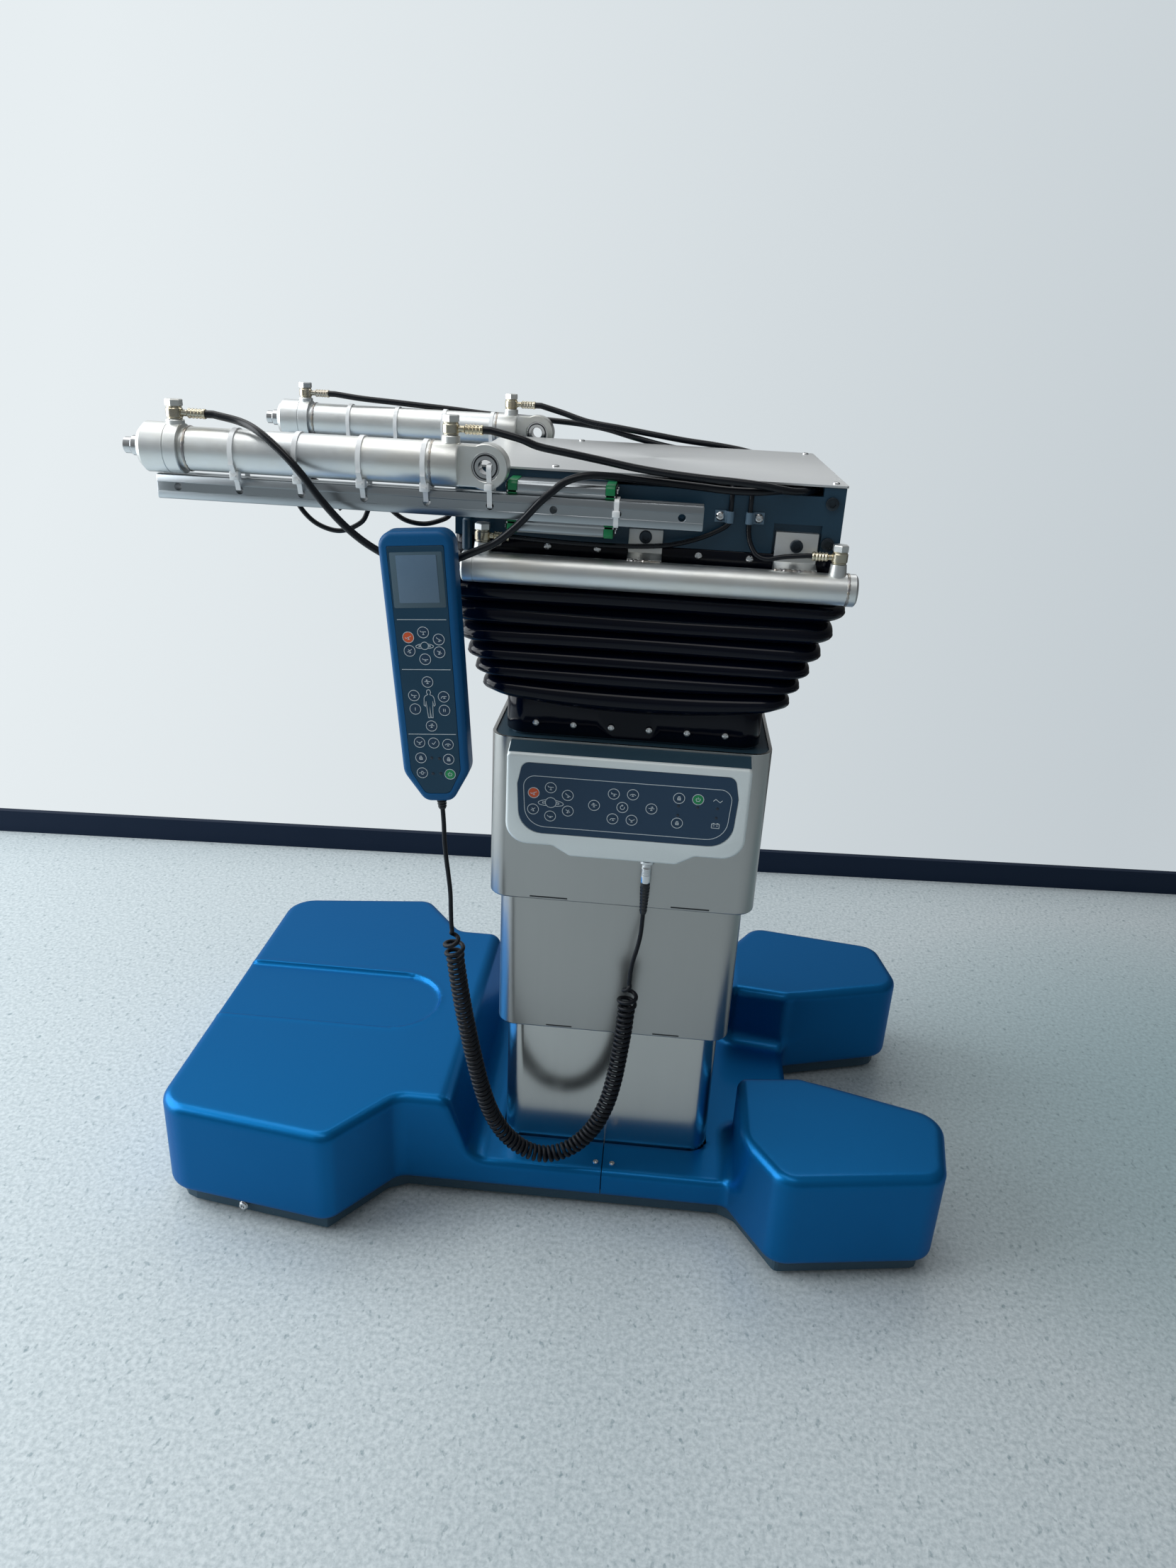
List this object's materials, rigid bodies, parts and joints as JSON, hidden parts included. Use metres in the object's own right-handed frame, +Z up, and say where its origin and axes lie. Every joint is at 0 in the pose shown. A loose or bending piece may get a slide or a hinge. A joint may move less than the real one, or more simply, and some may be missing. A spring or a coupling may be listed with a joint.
{
  "type": "hydraulic operating table",
  "caption": "Operating table pedestal: low base, telescoping steel column, pleated bellows, tilting slide frame with rails, cylinders and hoses, keypad, and a hand control on a curly cord.",
  "frame": {"origin": "on the floor below the column's axis", "axes": "+X along the table towards the toes, +Y away from the keypad side, +Z up"},
  "size_m": [0.9245, 0.5596, 0.9218],
  "materials": {
    "painted_cover": "satin-gloss moulded cover",
    "dark_plate_paint": "satin paint",
    "black_rubber": "smooth",
    "chrome": "polished",
    "power_pack_grey": "satin",
    "black_plastic": "matt",
    "brushed_stainless": "brushed along the height",
    "zinc_plated_steel": "satin zinc plating",
    "slate_paint": "satin",
    "ground_steel": "ground and oiled",
    "hose_rubber": "smooth, glossy",
    "silver_paint": "fine grained",
    "key_film": "satin film",
    "blue_rubber": "matt",
    "display_window": "clear window over a grey display"
  },
  "bodies": {
    "base": {"base_plate": "dark_plate_paint", "base_cover_head_end": "painted_cover", "base_cover_foot_end": "painted_cover", "earth_terminal": "chrome", "hydraulic_power_pack": "power_pack_grey", "battery_box": "black_plastic", "column_lower_shell": "brushed_stainless", "lift_cylinder_barrel": "zinc_plated_steel"},
    "foot_1": {"floor_lock_foot_1": "black_rubber"},
    "foot_2": {"floor_lock_foot_2": "black_rubber"},
    "foot_3": {"floor_lock_foot_3": "black_rubber"},
    "foot_4": {"floor_lock_foot_4": "black_rubber"},
    "middle_stage": {"column_middle_shell": "brushed_stainless", "lift_cylinder_stage": "zinc_plated_steel"},
    "upper_stage": {"column_upper_shell": "brushed_stainless", "lift_piston_rod": "chrome", "column_head": "dark_plate_paint", "panel_housing": "silver_paint", "panel_keypad": "key_film", "panel_socket": "chrome", "bellows": "black_rubber", "handset_plug": "chrome", "handset_cord_lower": "hose_rubber", "handset_cord_coil": "hose_rubber"},
    "gimbal": {"gimbal_cross": "zinc_plated_steel"},
    "slide_frame": {"frame_tray": "slate_paint", "frame_side_front": "slate_paint", "frame_side_rear": "slate_paint", "frame_top_cover": "brushed_stainless", "carriage_front": "ground_steel", "carriage_rear": "ground_steel", "translation_cylinder": "zinc_plated_steel", "banjo_translation_left": "zinc_plated_steel", "banjo_translation_right": "zinc_plated_steel", "hose_translation_left": "hose_rubber", "hose_translation_right": "hose_rubber", "hose_spare_loops": "hose_rubber", "hose_clip_left": "zinc_plated_steel", "hose_clip_right": "zinc_plated_steel"},
    "rail_front_body": {"rail_front": "ground_steel", "cylinder_front": "zinc_plated_steel", "eye_bearing_front": "ground_steel", "banjo_front_left": "zinc_plated_steel", "banjo_front_right": "zinc_plated_steel", "hose_front_left": "hose_rubber", "hose_front_right": "hose_rubber"},
    "rail_rear_body": {"rail_rear": "ground_steel", "cylinder_rear": "zinc_plated_steel", "eye_bearing_rear": "ground_steel", "banjo_rear_left": "zinc_plated_steel", "banjo_rear_right": "zinc_plated_steel", "hose_rear_left": "hose_rubber", "hose_rear_right": "hose_rubber"},
    "rod_front": {"piston_rod_front": "chrome"},
    "rod_rear": {"piston_rod_rear": "chrome"},
    "rod_translation": {"translation_rod": "chrome"},
    "handset": {"handset_shell": "blue_rubber", "handset_keypad": "key_film", "handset_display": "display_window", "handset_cord_upper": "hose_rubber"}
  },
  "joints": [
    {"name": "foot_lift_1", "type": "slide", "parent": "base", "child": "foot_1", "axis": [0, 0, 1], "range_m": [0, 0.008]},
    {"name": "foot_lift_2", "type": "slide", "parent": "base", "child": "foot_2", "axis": [0, 0, 1], "range_m": [0, 0.008]},
    {"name": "foot_lift_3", "type": "slide", "parent": "base", "child": "foot_3", "axis": [0, 0, 1], "range_m": [0, 0.008]},
    {"name": "foot_lift_4", "type": "slide", "parent": "base", "child": "foot_4", "axis": [0, 0, 1], "range_m": [0, 0.008]},
    {"name": "column_lift", "type": "slide", "parent": "base", "child": "upper_stage", "axis": [0, 0, 1], "range_m": [-0.325, 0]},
    {"name": "middle_lift", "type": "slide", "parent": "base", "child": "middle_stage", "axis": [0, 0, 1], "range_m": [-0.1625, 0]},
    {"name": "frame_pitch", "type": "hinge", "parent": "upper_stage", "child": "gimbal", "pos_m": [0, 0, 0.735], "axis": [0, 1, 0], "range_deg": [-25, 25], "deforming": ["bellows", "handset_cord_coil", "handset_cord_lower", "handset_cord_upper"]},
    {"name": "frame_roll", "type": "hinge", "parent": "gimbal", "child": "slide_frame", "pos_m": [0, 0, 0.735], "axis": [1, 0, 0], "range_deg": [-15, 15]},
    {"name": "rail_slide_front", "type": "slide", "parent": "slide_frame", "child": "rail_front_body", "axis": [1, 0, 0], "range_m": [-0.06, 0], "deforming": ["hose_front_left", "hose_front_right"]},
    {"name": "rail_slide_rear", "type": "slide", "parent": "slide_frame", "child": "rail_rear_body", "axis": [1, 0, 0], "range_m": [-0.06, 0], "deforming": ["hose_rear_left", "hose_rear_right"]},
    {"name": "rod_slide_front", "type": "slide", "parent": "rail_front_body", "child": "rod_front", "axis": [-1, 0, 0], "range_m": [0, 0.17]},
    {"name": "rod_slide_rear", "type": "slide", "parent": "rail_rear_body", "child": "rod_rear", "axis": [-1, 0, 0], "range_m": [0, 0.17]},
    {"name": "rod_slide_translation", "type": "slide", "parent": "slide_frame", "child": "rod_translation", "axis": [-1, 0, 0], "range_m": [0, 0.27]},
    {"name": "handset_lift", "type": "slide", "parent": "slide_frame", "child": "handset", "axis": [0, 0, 1], "range_m": [0, 0.05]}
  ],
  "couplings": [
    {"joint": "middle_lift", "follows": "column_lift", "ratio": 0.5},
    {"joint": "rail_slide_rear", "follows": "rail_slide_front", "ratio": 1}
  ]
}
